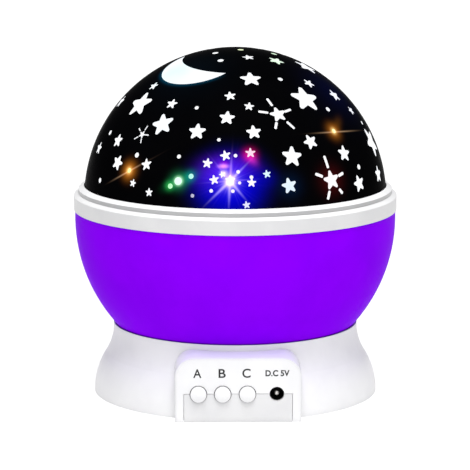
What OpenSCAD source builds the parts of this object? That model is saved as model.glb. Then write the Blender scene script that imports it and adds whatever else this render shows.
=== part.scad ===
// Star night light projector: a round ball lamp with a star dome, turning on a
// flared base that holds the cells, the motor, the switches and the power inlet.
// Frame: origin at the centre of the base's underside, +Z up along the turning
// axis, the control panel faces -Y. Millimetres.

/* [Dome] */
// Outer radius of the star skin
dome_r = 60.8; // [60.6:0.1:61]
// Thickness of the star skin
mask_t = 0.45; // [0.3:0.05:0.6]
// Wall of the milky dome under the skin
diffuser_t = 1.5; // [1:0.1:2.4]
// Cut the star windows through the skin
cut_windows = true; // [true, false]
// Windows per row on the back of the dome
back_count = 8; // [4:1:9]

/* [Rings] */
// Outer radius of the rim ring on the ball
rim_r = 64.9; // [64.7:0.1:65.6]
// Outer radius of the ring under the dome
dome_ring_r = 63; // [62.6:0.1:63.4]

/* [Ball] */
// Wall of the coloured bowl
bowl_wall = 1.8; // [1.2:0.1:2.4]
// Radial clearance of the bowl's hub on the post
hub_clear = 0.06; // [0.04:0.01:0.1]

/* [Base] */
// Wall of the flared base
base_wall = 2.2; // [1.6:0.1:2.6]
// Width of the control panel
panel_w = 49; // [47:0.5:52]
// Height of the control panel at its face
panel_h = 25.2; // [23:0.1:25.6]
// Radius of the panel's top corners
panel_corner = 7.7; // [5:0.1:9]
// Width of the lower tab inside the panel
tab_w = 42; // [40:0.5:43]

/* [Buttons and inlet] */
// Radius of a button cap
button_r = 3.1; // [2.6:0.1:3.3]
// How far a button stands out of the panel
button_out = 1.7; // [1.3:0.1:2.2]
// Bore of the power inlet
jack_bore_r = 2.8; // [2.6:0.05:2.9]
// Radius of the inlet's centre pin
jack_pin_r = 1.0; // [0.8:0.05:1.05]

/* [Drive] */
// Teeth of the gear under the bowl
gear_teeth = 44; // [44]
// Teeth of the motor's pinion
pinion_teeth = 12; // [12]
// Tooth module
gear_module = 1.0; // [1]
// Tooth thinning on each flank
gear_backlash = 0.09; // [0.07:0.01:0.12]

/* [Hidden] */

$fn = 96;

// dome and rings
dome_cz = 78.15;
seat_z = 82.6;
ring_top = 84;
seam_z = 81.15;
bowl_top = 74.35;
bowl_cz = 70.9;
bowl_R = 64.45;
floor_z = 25.2;
floor_t = 2;
hub_z0 = 21.05;
hub_z1 = 32.9;
post_r = 7;
post_top = 33;
gear_screw_r = 15;
// flared base: a round foot that runs smoothly into a waisted neck
base_h = 28.2;
base_mid = 15;
foot_cx = 28.8;
foot_R = 28.3;
neck_R = 23.5;
neck_cx = 72.68;
neck_cz = 27.43;
lip_r = 48.65;
cover_screw_r = 47.5;
cover_screw_a = [35, 145, 215, 325];
chassis_z = 16;
chassis_t = 2;
chassis_r = 51 - base_wall;
chassis_screw_r = 46.8;
chassis_screw_a = [0, 90, 180];
// panel
panel_y = -59;
panel_wall = 2;
// depth and inset of each step of the face's rounded edge
panel_steps = [[0, 0.7], [0.1, 0.4], [0.2, 0.25], [0.4, 0.1]];
panel_edge = 0.7;
panel_tilt = 4.6;
row_z = 11.1;
button_x = [-15.4, -6, 3.6];
jack_x = 15;
// drive
gear_z0 = 21.7;
gear_z1 = floor_z;
gear_rp = gear_module * gear_teeth / 2;
pinion_rp = gear_module * pinion_teeth / 2;
motor_y = -(gear_rp + pinion_rp);
// cells
cell_r = 5.25;
cell_l = 44.5;
cell_z = 7.5;
cell_y = [-7, 4, 15, 26];
bay_x = 24.9;
bay_y0 = -12.6;
bay_y1 = 31.6;
bay_wall = 1.4;
// light
board_z = 68;

white = [0.95, 0.95, 0.96];
purple = [0.50, 0.02, 0.98];

// ---------- shapes that repeat ----------

// flared outline of the base, pulled in by d; its two arcs run into each other at zs
module base_profile(d = 0) {
  zs = base_mid - 0.53 * d;
  intersection() {
    square([60, zs + 2]);
    union() {
      square([foot_cx, zs + 2]);
      translate([foot_cx, 0]) circle(foot_R - d, $fn = 180);
    }
  }
  difference() {
    translate([0, zs]) square([60, base_h - zs]);
    translate([neck_cx, neck_cz]) circle(neck_R + d, $fn = 360);
  }
}

// upright rectangle in XZ with round top corners
module panel_outline(w, h, r) {
  translate([-w / 2, 0]) square([w, h - r]);
  translate([-w / 2 + r, 0]) square([w - 2 * r, h]);
  for (s = [-1, 1]) translate([s * (w / 2 - r), h - r]) circle(r, $fn = 56);
}

// outline in XZ pushed along +Y from y0 by len
module along_y(y0, len) {
  translate([0, y0 + len, 0]) rotate([90, 0, 0]) linear_extrude(len) children();
}

// round rod along +Y
module rod_y(x, y0, y1, z, r) {
  translate([x, y0, z]) rotate([-90, 0, 0]) cylinder(r = r, h = y1 - y0, $fn = 48);
}

// control panel block: top rising a little towards the body, face with softened edges
module panel_block() {
  yc = panel_y + panel_edge;
  intersection() {
    translate([-40, yc, 0]) cube([80, 13, 60]);
    translate([0, yc, 0]) rotate([panel_tilt, 0, 0]) translate([0, 0, -6])
      along_y(-8, 28) panel_outline(panel_w, panel_h * cos(panel_tilt) + 6, panel_corner);
  }
  panel_face();
}

// the face's rounded edge, in fine steps
module panel_face() {
  for (t = panel_steps)
    along_y(panel_y + t[0], 2 - t[0]) panel_outline(panel_w - 2 * t[1], panel_h - 0.1 - t[1], panel_corner - t[1]);
}

module panel_holes() {
  for (x = button_x) rod_y(x, panel_y - 2, panel_y + panel_wall + 2, row_z, button_r + 0.3);
  rod_y(jack_x, panel_y - 2, panel_y + panel_wall + 2, row_z, jack_bore_r + 0.05);
}

// bevelled shoulder of a ring with broken edges, from the wall up to the top
function shoulder(r0, z0, dr, dz) =
  [for (p = [[1, 0], [0.98, 0.09], [0.92, 0.18], [0.5, 0.58], [0.08, 0.95], [0, 1]]) [r0 + p[0] * dr, z0 + p[1] * dz]];

// pan head screw pointing up: head below z, shank above
module screw_up(x, y, z, head_r, head_h, shank_r, len) {
  translate([x, y, z - head_h]) difference() {
    cylinder(r = head_r, h = head_h, $fn = 32);
    for (a = [0, 90]) rotate(a) translate([-head_r * 0.6, -0.25, -1]) cube([head_r * 1.2, 0.5, 1 + head_h * 0.5]);
  }
  translate([x, y, z - 0.01]) cylinder(r = shank_r, h = len, $fn = 32);
}

// ---------- gear teeth ----------
function inv(a) = tan(a) * 180 / PI - a;
function flank(rp, half, r) = let (rb = rp * cos(20)) r <= rb ? half + inv(20) : half + inv(20) - inv(acos(rb / r));
function gear_points(n, m, add, ded, thin, phase) =
  let (rp = m * n / 2, ra = rp + add, rr = rp - ded, rb = rp * cos(20),
       half = 90 / n - thin / rp * 180 / PI,
       rs = [rr, max(rb, rr + 0.1), (max(rb, rr + 0.1) + rp) / 2, rp, (rp + ra) / 2, ra])
  [for (t = [0:n - 1]) let (c = phase + t * 360 / n)
    each concat(
      [for (i = [0:5]) let (a = c - flank(rp, half, rs[i])) rs[i] * [cos(a), sin(a)]],
      [for (i = [5:-1:0]) let (a = c + flank(rp, half, rs[i])) rs[i] * [cos(a), sin(a)]])];

// ---------- star windows ----------
// front of the dome: [turn from the panel side, height angle, size, roll]
front_stars = [
  [10, 59, 4.3, -2], [40, 47, 6.3, -12], [-58, 43, 6, 12], [-36, 36, 4.8, 20], [22, 24, 4.2, -8],
  [-18, 34, 3.5, 2], [19.4, 13.4, 3.1, 10], [-5, 40, 3.1, -4], [76, 24, 6.2, 18], [32, 29, 3.1, 18],
  [48, 23, 3.3, -10], [7, 34, 3, 4], [53, 11, 3.4, 12], [-54, 19, 3.1, -16], [-59, 27, 2.8, 8],
  [71, 12, 3.4, -6], [50, 70, 3.2, 10], [-36, 45, 2.4, 0], [-38, 20, 2.4, 14], [67, 46, 3, -8],
  [-4, 50, 2.3, 10], [-12, 22, 2, -6], [-9, 16, 1.9, 12], [5, 26, 2, 0], [-5, 25, 2.1, 16],
  [6, 45, 2, -10], [-34.8, 10, 1.7, 6], [53, 54, 2.5, 14], [5, 15, 1.8, -4], [18, 75, 2.4, 0],
  [80, 62, 5, 10], [11, 18, 1.6, 8], [-60, 52, 2.2, 12], [-74, 22, 2.6, 0], [3, 7, 1.5, 10],
  [-43, 12.6, 1.6, -8], [72, 38, 2, 6], [-84, 41, 3, 10], [-3, 16, 2, 0], [-6, 18, 1.3, 20]];
// stars with loose rays around them: [turn, height angle, size, roll,
// rays as [clockwise angle from up, start, end]]
ray_stars = [
  [20, 41, 3.4, 8, [[-17, 4.3, 8.3], [-74, 3.9, 7.8], [70, 3.2, 6.4], [-157, 3.7, 6.8], [141, 4.4, 8.4]]],
  [38, 14, 3.9, 6, [[-7, 4.8, 9.8], [72, 4, 7.1], [-66, 4.3, 7.9], [139, 5, 7.5], [-158, 4.3, 7.8]]],
  [-45, 31, 1.6, -18, [[-52, 2.2, 3.9], [14, 1.9, 4], [88, 1.6, 3.5], [165, 1.7, 3.7], [-124, 1.9, 4.1]]]];
// round windows: [turn, height angle, radius]
front_dots = [
  [-19, 72, 1.2], [32, 58, 1], [55, 17, 1], [-24, 24, 0.8], [5, 17, 0.7], [-44, 79, 1.2], [-21, 44, 0.8],
  [51, 41, 1], [-69, 29, 1], [-8, 31, 0.7], [-1, 25, 0.7], [-64, 11, 1], [-10, 12, 0.7], [-2, 12, 0.7],
  [-17, 10, 0.7], [0, 19, 0.7], [0.5, 15, 0.6], [76, 32, 0.8], [23, 85, 1.2], [77, 75, 1.2], [-44, 23, 1],
  [-46, 17, 0.9], [47, 32, 0.9], [-26, 13, 1], [-18, 17, 1], [-23, 15, 1.5]];

// carries a flat outline out to the skin at a turn and height angle
module on_dome(az, el, below = 2.2) {
  translate([0, 0, dome_cz]) rotate([0, 90 - el, az - 90])
    translate([0, 0, dome_r - below]) linear_extrude(below + 1.4) children();
}

// five-pointed star with blunt tips; a tip points up the dome at roll 0
module star2d(r, roll) {
  tip = 8;
  polygon([for (i = [0:4]) let (a = 180 + roll + 72 * i) each [
    r * 0.93 * [cos(a - tip), sin(a - tip)], r * [cos(a), sin(a)], r * 0.93 * [cos(a + tip), sin(a + tip)],
    r * (r < 2.7 ? 0.47 : 0.52) * [cos(a + 36), sin(a + 36)]]]);
}

// slim bar of width w with bevelled ends, from r0 to r1, clockwise from up by turn
module ray2d(turn, r0, r1, w) {
  n = r1 - r0;
  rotate(180 - turn) translate([r0, 0]) polygon([[0, -0.3 * w], [0.3 * w, -0.5 * w], [n - 0.3 * w, -0.5 * w],
    [n, -0.3 * w], [n, 0.3 * w], [n - 0.3 * w, 0.5 * w], [0.3 * w, 0.5 * w], [0, 0.3 * w]]);
}

module windows() {
  for (s = front_stars) on_dome(s[0], s[1]) star2d(s[2], s[3]);
  for (s = ray_stars) on_dome(s[0], s[1], 2.8) {
    star2d(s[2], s[3]);
    for (t = s[4]) ray2d(t[0], t[1], t[2], 0.3 * s[2]);
  }
  for (d = front_dots) on_dome(d[0], d[1]) circle(d[2], $fn = 24);
  // crescent
  on_dome(-43, 70, 6) difference() {
    circle(16, $fn = 96);
    translate([-15.6, 5.1]) circle(21.5, $fn = 120);
  }
  // back: rows that lean a little from one to the next
  for (row = [0:5]) {
    n = back_count - row;
    for (k = [0:n - 1]) {
      az = 93 + (k + 0.5 + 0.22 * sin(97 * k + 61 * row)) * 174 / n;
      el = 13 + 11.5 * row + 3 * sin(143 * k + 71 * row);
      q = (k * 3 + row * 2) % 5;
      if (q == 4) on_dome(az, el) circle(0.9, $fn = 24);
      else on_dome(az, el) star2d([4.6, 2.2, 3.4, 1.7][q], 25 * sin(211 * k + 37 * row));
    }
  }
  for (k = [0:2]) on_dome(120 + 60 * k, 80) star2d(1.8, 20 * k);
}

// ---------- dome ----------
module dome_shell(ro, ri, z0) {
  difference() {
    translate([0, 0, dome_cz]) sphere(ro, $fn = 180);
    translate([0, 0, dome_cz]) sphere(ri, $fn = 180);
    translate([-80, -80, z0 - 160]) cube([160, 160, 160]);
  }
}

module star_mask() {
  color([0.02, 0.02, 0.03]) difference() {
    dome_shell(dome_r, dome_r - mask_t, seat_z + 0.06);
    if (cut_windows) windows();
  }
}

module dome_diffuser() {
  ro = dome_r - mask_t - 0.05;
  color([0.93, 0.94, 0.97]) dome_shell(ro, ro - diffuser_t, seat_z + 0.03);
}

module dome_ring() {
  color(white) rotate_extrude($fn = 180) polygon(concat(
    [[57, 75.6], [58.9, 75.6], [58.9, seam_z + 0.1], [dome_ring_r, seam_z + 0.1]],
    shoulder(dome_r + 0.12, 82.75, dome_ring_r - dome_r - 0.12, ring_top - 82.75),
    [[dome_r, ring_top], [dome_r, seat_z], [57, seat_z]]));
}

// ---------- ball ----------
module rim_ring() {
  color(white) rotate_extrude($fn = 180) polygon(concat(
    [[59.25, 69.5], [61.9, 69.5], [61.9, bowl_top + 0.05], [rim_r, bowl_top + 0.05]],
    shoulder(dome_ring_r, 80, rim_r - dome_ring_r, seam_z - 80),
    [[59.25, seam_z]]));
}

module bowl() {
  hub_ri = post_r + hub_clear;
  color(purple) difference() {
    union() {
      rotate_extrude($fn = 180) {
        intersection() {
          difference() {
            translate([0, bowl_cz]) circle(bowl_R, $fn = 240);
            translate([0, bowl_cz]) circle(bowl_R - bowl_wall, $fn = 240);
          }
          translate([10, floor_z]) square([60, bowl_top - floor_z]);
        }
        // lip that meets the rim ring
        polygon([[63.2, 71.8], [64.0, 71.8], [64.6, 73.6], [64.6, bowl_top], [63.2, bowl_top]]);
        // floor and hub
        translate([hub_ri, floor_z]) square([45 - hub_ri, floor_t]);
        translate([hub_ri, hub_z0]) square([10 - hub_ri, hub_z1 - hub_z0]);
      }
      for (a = [30, 150, 270]) rotate(a) translate([gear_screw_r, 0, floor_z + 1]) cylinder(r = 3, h = 6.5, $fn = 40);
    }
    for (a = [30, 150, 270]) rotate(a) translate([gear_screw_r, 0, floor_z - 1]) cylinder(r = 1.35, h = 7.5, $fn = 32);
  }
}

module drive_gear() {
  color([0.92, 0.92, 0.88]) translate([0, 0, gear_z0]) difference() {
    linear_extrude(gear_z1 - gear_z0) polygon(gear_points(gear_teeth, gear_module, 0.85, 1.15, gear_backlash, -90));
    translate([0, 0, -1]) cylinder(r = 10.05, h = 8);
    for (a = [30, 150, 270]) rotate(a) translate([gear_screw_r, 0, 0]) {
      translate([0, 0, -1]) cylinder(r = 1.45, h = 8, $fn = 32);
      translate([0, 0, -1]) cylinder(r = 2.7, h = 2.8, $fn = 32);
    }
    for (a = [90, 210, 330]) rotate(a) translate([15.5, 0, -1]) cylinder(r = 3.2, h = 8, $fn = 40);
  }
}

module gear_screws() {
  color([0.6, 0.6, 0.62]) for (a = [30, 150, 270]) rotate(a) screw_up(gear_screw_r, 0, gear_z0 + 1.8, 2.4, 1.3, 1.3, 7.6);
}

// ---------- base ----------
module base_housing() {
  color(white) difference() {
    union() {
      // flared wall with its thin lip round the ball, and the panel
      difference() {
        union() {
          rotate_extrude($fn = 180) base_profile(0);
          panel_block();
        }
        rotate_extrude($fn = 180) {
          base_profile(base_wall);
          translate([0, -1]) square([foot_cx + foot_R - base_wall, 1]);
          polygon([[0, 25], [46.9, 25], [lip_r, base_h], [lip_r, base_h + 5], [0, base_h + 5]]);
        }
      }
      // ledge over the chassis plate
      rotate_extrude($fn = 180) intersection() {
        base_profile(base_wall / 2);
        translate([44.6, chassis_z + chassis_t]) square([20, 3]);
      }
      // bosses for the cover's screws
      for (a = cover_screw_a) rotate(a) translate([cover_screw_r, 0, 4.1]) cylinder(r = 3.3, h = 14.9, $fn = 48);
    }
    // inside of the panel, open to the base below the chassis plate
    translate([-(panel_w / 2 - panel_wall), panel_y + panel_wall, -1])
      cube([panel_w - 2 * panel_wall, 16, chassis_z - 0.1 + 1]);
    translate([-(panel_w / 2 - panel_wall - 4), panel_y + panel_wall, chassis_z - 1])
      cube([panel_w - 2 * panel_wall - 8, 3.4, panel_h - 3 - chassis_z]);
    // window for the cover's tab
    translate([-(tab_w / 2 + 0.16), panel_y - 2, -1]) cube([tab_w + 0.32, panel_wall + 2.1, row_z + 0.16 + 1]);
    panel_holes();
    for (a = cover_screw_a) rotate(a) translate([cover_screw_r, 0, 3]) cylinder(r = 1.3, h = 12, $fn = 32);
    for (a = chassis_screw_a) rotate(a) translate([chassis_screw_r, 0, 15]) cylinder(r = 1.05, h = 5.4, $fn = 32);
  }
}

module base_cover() {
  color(white) difference() {
    union() {
      intersection() {
        translate([0, 0, 0.3]) cylinder(r = 54.5, h = 2, $fn = 180);
        translate([-60, -54, 0]) cube([120, 120, 10]);
      }
      // floor and tab under the panel
      translate([-(panel_w / 2 - panel_wall - 0.2), panel_y + panel_wall + 0.1, 0.3])
        cube([panel_w - 2 * panel_wall - 0.4, 12, 2]);
      translate([-tab_w / 2, panel_y, 0]) cube([tab_w, panel_wall, row_z]);
      translate([-tab_w / 2, panel_y + 0.5, 0]) cube([tab_w, 3, 2.3]);
      // battery bay
      translate([-bay_x - bay_wall, bay_y0 - bay_wall, 1.5])
        cube([2 * (bay_x + bay_wall), bay_y1 - bay_y0 + 2 * bay_wall, 12.6]);
      // pads under the door's ears and over their screws
      for (s = [-1, 1]) {
        translate([s * 30.4 - 4.4, 9.5 - 5.4, 2]) cube([8.8, 10.8, 2.3]);
        translate([s * 31, 9.5, 2]) cylinder(r = 2.9, h = 8, $fn = 40);
      }
      for (a = cover_screw_a) rotate(a) translate([cover_screw_r, 0, 0.3]) cylinder(r = 3.7, h = 3.7, $fn = 48);
      // slots that hold the board
      for (s = [-1, 1], y = [-50.5, -47.4]) translate([s * 21.1 - 1, y, 2.2]) cube([2, 1.1, 7]);
    }
    // bay, open below
    translate([-bay_x, bay_y0, -1]) cube([2 * bay_x, bay_y1 - bay_y0, 14.1]);
    // seat of the door
    translate([-27.4, -15.1, -1]) cube([54.8, 49.2, 2.5]);
    for (s = [-1, 1]) {
      translate([s * 30 - 4.2, 9.5 - 4.2, -1]) cube([8.4, 8.4, 4.1]);
      translate([s * 31, 9.5, 0]) cylinder(r = 1.3, h = 9, $fn = 32);
    }
    for (a = cover_screw_a) rotate(a) translate([cover_screw_r, 0, -1]) {
      cylinder(r = 1.45, h = 8, $fn = 32);
      cylinder(r = 2.8, h = 3.4, $fn = 40);
    }
    panel_holes();
  }
}

module battery_door() {
  color(white) difference() {
    union() {
      translate([-27, -14.7, 0.4]) cube([54, 48.4, 1]);
      for (s = [-1, 1]) translate([s * 30 - 3.9, 9.5 - 3.9, 0.4]) cube([7.8, 7.8, 2.5]);
    }
    for (s = [-1, 1]) translate([s * 31, 9.5, -1]) {
      cylinder(r = 1.4, h = 6, $fn = 32);
      cylinder(r = 2.5, h = 2.7, $fn = 40);
    }
    // finger ribs pressed into the underside
    for (i = [-3:3]) translate([i * 3 - 0.4, -10, 0]) cube([0.8, 8, 0.7]);
  }
}

module door_screws() {
  color([0.6, 0.6, 0.62]) for (s = [-1, 1]) screw_up(s * 31, 9.5, 1.69, 2.3, 1.2, 1.22, 6.6);
}

module chassis_plate() {
  color([0.88, 0.88, 0.9]) difference() {
    union() {
      translate([0, 0, chassis_z]) cylinder(r = chassis_r, h = chassis_t, $fn = 180);
      translate([0, 0, chassis_z]) cylinder(r = 10, h = 4);
      translate([0, 0, chassis_z]) cylinder(r = post_r, h = post_top - chassis_z);
      for (s = [-1, 1]) translate([s * 13.5, motor_y, 15.2]) cylinder(r = 2.6, h = 2, $fn = 32);
    }
    translate([0, 0, chassis_z - 1]) cylinder(r = 5, h = 30);
    translate([0, motor_y, 15]) cylinder(r = 4, h = 6, $fn = 48);
    for (s = [-1, 1]) translate([s * 13.5, motor_y, 15]) cylinder(r = 1.05, h = 2.6, $fn = 32);
    for (a = cover_screw_a) rotate(a) translate([cover_screw_r, 0, 15]) cylinder(r = 3.7, h = 6, $fn = 48);
    for (a = chassis_screw_a) rotate(a) translate([chassis_screw_r, 0, 15]) cylinder(r = 1.2, h = 6, $fn = 32);
    // room for the panel's inner wall
    translate([-30, -60, 15]) cube([60, 12.6, 6]);
  }
}

module housing_screws() {
  color([0.6, 0.6, 0.62]) for (a = cover_screw_a) rotate(a) screw_up(cover_screw_r, 0, 2.38, 2.6, 1.4, 1.25, 11);
}

module chassis_screws() {
  color([0.6, 0.6, 0.62]) for (a = chassis_screw_a) rotate(a) screw_up(chassis_screw_r, 0, chassis_z - 0.02, 2, 1.2, 1.0, 4);
}

module control_board() {
  color([0.05, 0.35, 0.15]) difference() {
    translate([-22, -49.3, 2.5]) cube([43.8, 1.6, 12.9]);
    translate([10.3, -50, 6.4]) cube([9.4, 4, 12]);
  }
}

module board_components() {
  color([0.1, 0.1, 0.1]) {
    translate([-3, -47.7, 4.5]) cube([6, 1.6, 5]);
    rod_y(5.5, -47.7, -42.2, 6, 2.2);
    translate([-21.4, -47.7, 9.6]) cube([5, 3, 4.2]);
    translate([-9.5, -47.7, 3.6]) cube([6, 3, 4]);
  }
}

module switch_bodies() {
  color([0.15, 0.15, 0.16]) for (x = button_x) difference() {
    translate([x - 3, -52.6, row_z - 3]) cube([6, 3.3, 6]);
    rod_y(x, -54, -50, row_z, 1.8);
  }
}

module switch_plunger(x) {
  color([0.9, 0.88, 0.8]) rod_y(x, -54.3, -51.4, row_z, 1.7);
}
module switch_plunger_a() { switch_plunger(button_x[0]); }
module switch_plunger_b() { switch_plunger(button_x[1]); }
module switch_plunger_c() { switch_plunger(button_x[2]); }

// button cap: crowned face, flange behind the panel, stem on the switch
module button(x) {
  crown = 0.7;
  R = (button_r * button_r + crown * crown) / (2 * crown);
  color(white) {
    translate([x, panel_y - button_out, row_z]) rotate([-90, 0, 0]) rotate_extrude($fn = 64) union() {
      intersection() {
        translate([0, R]) circle(R, $fn = 240);
        square([button_r, crown]);
      }
      translate([0, crown - 0.001]) square([button_r, button_out - crown + panel_wall + 0.5]);
      translate([0, button_out + panel_wall + 0.15]) square([button_r + 0.75, 1]);
      translate([0, button_out + panel_wall + 0.5]) square([2.2, -54.3 - panel_y - panel_wall - 0.5]);
    }
  }
}
module button_a() { button(button_x[0]); }
module button_b() { button(button_x[1]); }
module button_c() { button(button_x[2]); }

module dc_jack() {
  color([0.03, 0.03, 0.03]) difference() {
    union() {
      translate([jack_x - 4.5, -54.5, 6.8]) cube([9, 10, 8.6]);
      rod_y(jack_x, panel_y + panel_wall + 0.1, -54, row_z, 4.2);
    }
    rod_y(jack_x, panel_y, -47.2, row_z, jack_bore_r);
    rod_y(jack_x, -49, -43, row_z, jack_pin_r * 0.8 + 0.01);
  }
}

// centre pin, stepped down where it passes the inlet's back wall
module dc_jack_pin() {
  color([0.85, 0.85, 0.87]) {
    rod_y(jack_x, -56.6, -47.3, row_z, jack_pin_r);
    rod_y(jack_x, -47.4, -44, row_z, jack_pin_r * 0.8);
    translate([jack_x, -56.6, row_z]) sphere(jack_pin_r, $fn = 48);
  }
}

module gear_motor() {
  color([0.75, 0.75, 0.78]) difference() {
    union() {
      translate([0, motor_y, 3.6]) cylinder(r = 10, h = 10.4, $fn = 72);
      translate([-16, motor_y - 4, 14]) cube([32, 8, 1.1]);
      translate([0, motor_y, 14]) cylinder(r = 3.5, h = 1.8, $fn = 40);
    }
    translate([0, motor_y, 9.9]) cylinder(r = 1.56, h = 8, $fn = 40);
    for (s = [-1, 1]) translate([s * 13.5, motor_y, 13]) cylinder(r = 1.15, h = 4, $fn = 32);
  }
}

module motor_screws() {
  color([0.6, 0.6, 0.62]) for (s = [-1, 1]) screw_up(s * 13.5, motor_y, 13.98, 2, 1.2, 1.0, 3.5);
}

module motor_shaft() {
  color([0.8, 0.8, 0.82]) translate([0, motor_y, 10]) cylinder(r = 1.5, h = 14.6, $fn = 40);
}

module motor_pinion() {
  color([0.92, 0.92, 0.88]) translate([0, motor_y, 20.6]) difference() {
    union() {
      linear_extrude(4.3) polygon(gear_points(pinion_teeth, gear_module, 0.85, 1.15, gear_backlash, 90 + 180 / pinion_teeth));
      translate([0, 0, -1.6]) cylinder(r = 3.6, h = 1.7, $fn = 40);
    }
    translate([0, 0, -3]) cylinder(r = 1.51, h = 9, $fn = 40);
  }
}

module thrust_washer() {
  color([0.8, 0.8, 0.82]) translate([0, 0, 20.01]) difference() {
    cylinder(r = 9.8, h = 0.99);
    translate([0, 0, -1]) cylinder(r = post_r + 0.08, h = 4);
  }
}

// ---------- light ----------
module led_pillar() {
  color(white) difference() {
    union() {
      rotate_extrude() polygon([[0, 27], [4.95, 27], [4.95, post_top + 0.02], [9.6, post_top + 0.02], [9.6, post_top + 2],
        [6.5, post_top + 4], [6.5, 59], [10.5, 64], [10.5, board_z], [0, board_z]]);
    }
    translate([0, 0, 20]) cylinder(r = 3.2, h = 60);
    for (s = [-1, 1]) translate([s * 8, 0, 62]) cylinder(r = 0.85, h = 8, $fn = 32);
  }
}

module led_board() {
  color([0.95, 0.95, 0.92]) difference() {
    translate([0, 0, board_z + 0.01]) cylinder(r = 10.4, h = 1.19);
    for (s = [-1, 1]) translate([s * 8, 0, board_z - 1]) cylinder(r = 0.95, h = 4, $fn = 32);
  }
}

module led(a, c) {
  color(c) rotate(a) translate([4.9, 0, board_z + 1.22]) {
    cylinder(r = 2.9, h = 0.9, $fn = 40);
    cylinder(r = 2.5, h = 3.8, $fn = 40);
    translate([0, 0, 3.8]) sphere(2.5, $fn = 48);
  }
}
module led_warm() { led(225, [1.0, 0.85, 0.6]); }
module led_blue() { led(315, [0.3, 0.4, 1.0]); }
module led_green() { led(135, [0.3, 1.0, 0.4]); }
module led_red() { led(45, [1.0, 0.25, 0.2]); }

module led_board_screws() {
  color([0.6, 0.6, 0.62]) for (s = [-1, 1]) translate([s * 8, 0, board_z + 1.22]) mirror([0, 0, 1]) screw_up(0, 0, 0, 1.5, 0.9, 0.8, 5.6);
}

// flat lead from the board, over the bay and up through the post
module led_ribbon() {
  color([0.85, 0.85, 0.87]) {
    translate([-2.4, -0.6, 14.5]) cube([4.8, 1.2, board_z - 14.5]);
    translate([-21.3, -2.4, 14.5]) cube([19, 4.8, 1.1]);
    translate([-21.3, -46.5, 14.5]) cube([4.6, 48.9, 1.1]);
  }
}

module motor_leads() {
  for (s = [-1, 1]) color(s < 0 ? [0.7, 0.05, 0.05] : [0.05, 0.05, 0.05])
    rod_y(s * 1.2 - 6, -44.6, motor_y - sqrt(100 - pow(5.4 - s * 1.2, 2)) - 0.02, 5.6, 0.6);
}

module battery_leads() {
  for (s = [-1, 1]) color(s < 0 ? [0.7, 0.05, 0.05] : [0.05, 0.05, 0.05])
    rod_y(s * 1.2 - 19.4, -44.7, bay_y0 - bay_wall - 0.05, 11.6, 0.6);
}

// ---------- cells ----------
module aaa_cells() {
  color([0.25, 0.45, 0.3]) for (i = [0:3]) translate([0, cell_y[i], cell_z]) rotate([0, 0, i % 2 == 0 ? 0 : 180]) {
    translate([-20.1, 0, 0]) rotate([0, 90, 0]) cylinder(r = cell_r, h = cell_l - 0.9, $fn = 64);
    translate([20, 0, 0]) rotate([0, 90, 0]) cylinder(r = 1.9, h = 4.4, $fn = 32);
  }
}

module battery_contacts() {
  color([0.85, 0.82, 0.7]) for (i = [0:3], s = [-1, 1])
    translate([s * (bay_x - 0.22) - 0.18, cell_y[i] - 4.5, cell_z - 4.5]) cube([0.36, 9, 9]);
}

// conical spring of wire along +X
function coil_at(i, n, turns, len, r0, r1) = let (f = i / n, a = 360 * turns * f, r = r0 + (r1 - r0) * f)
  [len * f, r * cos(a), r * sin(a)];
module coil(turns, len, r0, r1, wire) {
  n = turns * 12;
  m = 6;
  pts = [for (i = [0:n]) let (p = coil_at(i, n, turns, len, r0, r1), a = 360 * turns * i / n,
      t = [len / n, 0, 0] + (r0 + (r1 - r0) * i / n) * 2 * PI * turns / n * [0, -sin(a), cos(a)],
      u = [0, cos(a), sin(a)], v = cross(t / norm(t), u))
    each [for (k = [0:m - 1]) p + wire * (cos(60 * k) * u + sin(60 * k) * v)]];
  faces = concat(
    [for (i = [0:n - 1], k = [0:m - 1]) [i * m + k, i * m + (k + 1) % m, (i + 1) * m + (k + 1) % m, (i + 1) * m + k]],
    [[for (k = [m - 1:-1:0]) k], [for (k = [0:m - 1]) n * m + k]]);
  polyhedron(points = pts, faces = faces, convexity = 6);
}

module battery_springs() {
  color([0.8, 0.8, 0.82]) for (i = [0:3]) translate([0, cell_y[i], cell_z]) rotate([0, 0, i % 2 == 0 ? 0 : 180])
    translate([-bay_x + 0.8, 0, 0]) coil(3, 3.6, 3.4, 2, 0.3);
}

base_housing();
base_cover();
chassis_plate();
housing_screws();
chassis_screws();
control_board();
board_components();
switch_bodies();
dc_jack();
dc_jack_pin();
gear_motor();
motor_screws();
thrust_washer();
led_pillar();
led_board();
led_warm();
led_blue();
led_green();
led_red();
led_board_screws();
led_ribbon();
motor_leads();
battery_leads();
aaa_cells();
battery_contacts();
battery_springs();
battery_door();
door_screws();
bowl();
rim_ring();
drive_gear();
gear_screws();
motor_shaft();
motor_pinion();
dome_ring();
dome_diffuser();
star_mask();
button_a();
button_b();
button_c();
switch_plunger_a();
switch_plunger_b();
switch_plunger_c();
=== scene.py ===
import math

import bpy
import numpy as np
from mathutils import Matrix, Vector
from mathutils.geometry import delaunay_2d_cdt


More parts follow.
